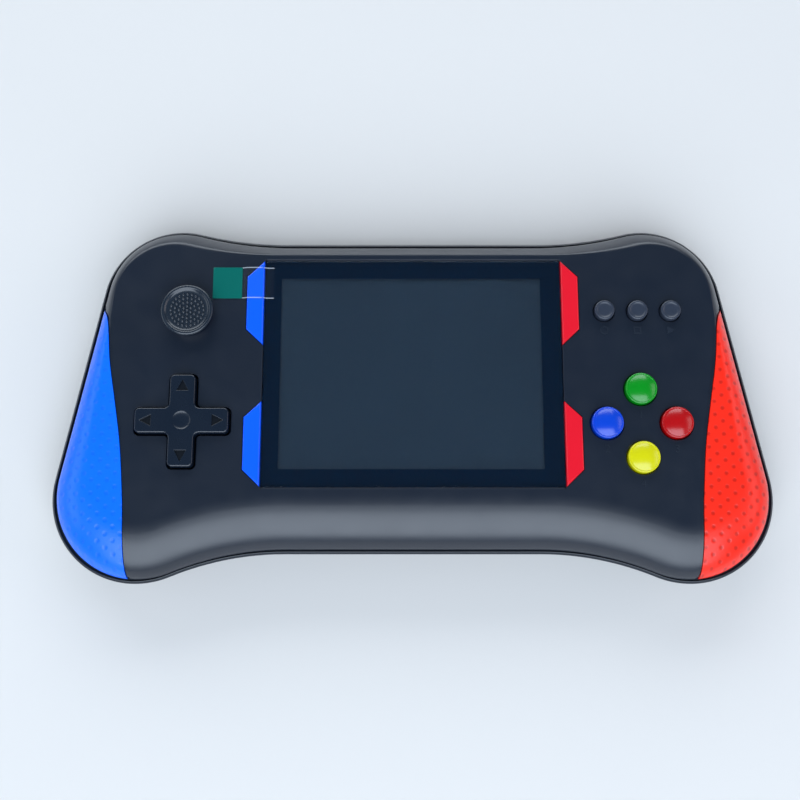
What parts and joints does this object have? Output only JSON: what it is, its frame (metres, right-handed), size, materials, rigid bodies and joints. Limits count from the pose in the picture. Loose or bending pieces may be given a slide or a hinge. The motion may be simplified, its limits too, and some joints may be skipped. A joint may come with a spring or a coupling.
{
  "type": "handheld game console",
  "caption": "Landscape handheld game console with a thumbstick, cross pad, coloured buttons, dotted grip panels, a display and a sliding battery cover.",
  "frame": {"origin": "on the back's resting plane, under the middle of the console", "axes": "+X to the right of the player, +Y towards the top edge with the sockets, +Z out of the face"},
  "size_m": [0.1936, 0.0982, 0.0248],
  "materials": {
    "shell_plastic": "moulded black plastic, satin",
    "rear_plastic": "moulded black plastic, fine texture",
    "blue_grip": "moulded blue plastic, satin gloss",
    "red_grip": "moulded red plastic, satin gloss",
    "blue_trim": "blue plastic, gloss",
    "red_trim": "red plastic, gloss",
    "window_acrylic": "acrylic, clear over the display and printed black round it",
    "display_glass": "unlit display glass, dark grey",
    "tray_metal": "pressed aluminium, plain",
    "ribbon_amber": "amber polyimide film",
    "connector_white": "ivory nylon",
    "clear_film": "clear film",
    "green_film": "green film",
    "stick_rubber": "black rubber, dotted grip",
    "stick_nylon": "black nylon",
    "key_plastic": "black plastic, satin",
    "green_plastic": "green plastic, gloss",
    "blue_plastic": "blue plastic, gloss",
    "red_plastic": "red plastic, gloss",
    "yellow_plastic": "yellow plastic, gloss",
    "silicone": "translucent grey silicone rubber",
    "board_laminate": "green glass laminate",
    "chip_epoxy": "black epoxy",
    "steel": "zinc-plated steel",
    "contact_block": "gold-plated pins in a black block",
    "cell_wrap": "plain silver-grey wrap",
    "speaker_frame": "black frame with a paper cone"
  },
  "bodies": {
    "root": {"front_shell": "shell_plastic", "rear_shell": "rear_plastic", "left_grip_panel": "blue_grip", "right_grip_panel": "red_grip", "screen_window": "window_acrylic", "upper_left_accent": "blue_trim", "upper_right_accent": "red_trim", "lower_left_accent": "blue_trim", "lower_right_accent": "red_trim", "display_panel": "display_glass", "display_tray": "tray_metal", "display_flex": "ribbon_amber", "display_connector": "connector_white", "screen_film_strip": "clear_film", "screen_film_tab": "green_film", "thumbstick_housing": "stick_nylon", "dpad_post": "stick_nylon", "dpad_membrane": "silicone", "face_button_membrane": "silicone", "menu_button_membrane": "silicone", "main_board": "board_laminate", "board_screws": "steel", "shell_screws": "steel", "battery": "cell_wrap", "battery_contacts": "contact_block", "speaker": "speaker_frame", "av_jack": "chip_epoxy", "charging_socket": "steel", "power_switch_body": "steel", "volume_wheel_base": "stick_nylon", "processor_chip": "chip_epoxy", "memory_chip": "chip_epoxy"},
    "thumbstick_carriage": {"thumbstick_carriage": "stick_nylon"},
    "thumbstick": {"thumbstick_cap": "stick_rubber"},
    "dpad_ball": {"dpad_ball": "stick_nylon"},
    "dpad": {"dpad_cross": "key_plastic"},
    "green_button": {"green_button": "green_plastic"},
    "blue_button": {"blue_button": "blue_plastic"},
    "red_button": {"red_button": "red_plastic"},
    "yellow_button": {"yellow_button": "yellow_plastic"},
    "reset_button": {"reset_button": "key_plastic"},
    "select_button": {"select_button": "key_plastic"},
    "start_button": {"start_button": "key_plastic"},
    "power_switch": {"power_switch_knob": "stick_nylon"},
    "volume_wheel": {"volume_wheel": "key_plastic"},
    "battery_cover": {"battery_cover": "rear_plastic"}
  },
  "joints": [
    {"name": "thumbstick_slide_x", "type": "slide", "parent": "root", "child": "thumbstick_carriage", "axis": [1, 0, 0], "range_m": [-0.0016, 0.0016], "stiffness_N_per_m": 200},
    {"name": "thumbstick_slide_y", "type": "slide", "parent": "thumbstick_carriage", "child": "thumbstick", "axis": [0, 1, 0], "range_m": [-0.0016, 0.0016], "stiffness_N_per_m": 200},
    {"name": "dpad_tilt_x", "type": "hinge", "parent": "root", "child": "dpad_ball", "pos_m": [-0.0609, -0.0072, 0.01551], "axis": [1, 0, 0], "range_deg": [-3.5, 3.5], "stiffness_Nm_per_rad": 0.2, "deforming": ["dpad_membrane"]},
    {"name": "dpad_tilt_y", "type": "hinge", "parent": "dpad_ball", "child": "dpad", "pos_m": [-0.0609, -0.0072, 0.01551], "axis": [0, 1, 0], "range_deg": [-3.5, 3.5], "stiffness_Nm_per_rad": 0.2, "deforming": ["dpad_membrane"]},
    {"name": "green_button_press", "type": "slide", "parent": "root", "child": "green_button", "axis": [0, 0, -1], "range_m": [0, 0.0012], "stiffness_N_per_m": 600, "deforming": ["face_button_membrane"]},
    {"name": "blue_button_press", "type": "slide", "parent": "root", "child": "blue_button", "axis": [0, 0, -1], "range_m": [0, 0.0012], "stiffness_N_per_m": 600, "deforming": ["face_button_membrane"]},
    {"name": "red_button_press", "type": "slide", "parent": "root", "child": "red_button", "axis": [0, 0, -1], "range_m": [0, 0.0012], "stiffness_N_per_m": 600, "deforming": ["face_button_membrane"]},
    {"name": "yellow_button_press", "type": "slide", "parent": "root", "child": "yellow_button", "axis": [0, 0, -1], "range_m": [0, 0.0012], "stiffness_N_per_m": 600, "deforming": ["face_button_membrane"]},
    {"name": "reset_button_press", "type": "slide", "parent": "root", "child": "reset_button", "axis": [0, 0, -1], "range_m": [0, 0.0008], "stiffness_N_per_m": 600, "deforming": ["menu_button_membrane"]},
    {"name": "select_button_press", "type": "slide", "parent": "root", "child": "select_button", "axis": [0, 0, -1], "range_m": [0, 0.0008], "stiffness_N_per_m": 600, "deforming": ["menu_button_membrane"]},
    {"name": "start_button_press", "type": "slide", "parent": "root", "child": "start_button", "axis": [0, 0, -1], "range_m": [0, 0.0008], "stiffness_N_per_m": 600, "deforming": ["menu_button_membrane"]},
    {"name": "power_switch_slide", "type": "slide", "parent": "root", "child": "power_switch", "axis": [1, 0, 0], "range_m": [0, 0.003]},
    {"name": "volume_wheel_turn", "type": "hinge", "parent": "root", "child": "volume_wheel", "pos_m": [0.028, 0.03885, 0.00825], "axis": [0, 0, 1], "range_deg": [0, 270]},
    {"name": "battery_cover_slide", "type": "slide", "parent": "root", "child": "battery_cover", "axis": [0, -1, 0], "range_m": [0, 0.05]}
  ]
}
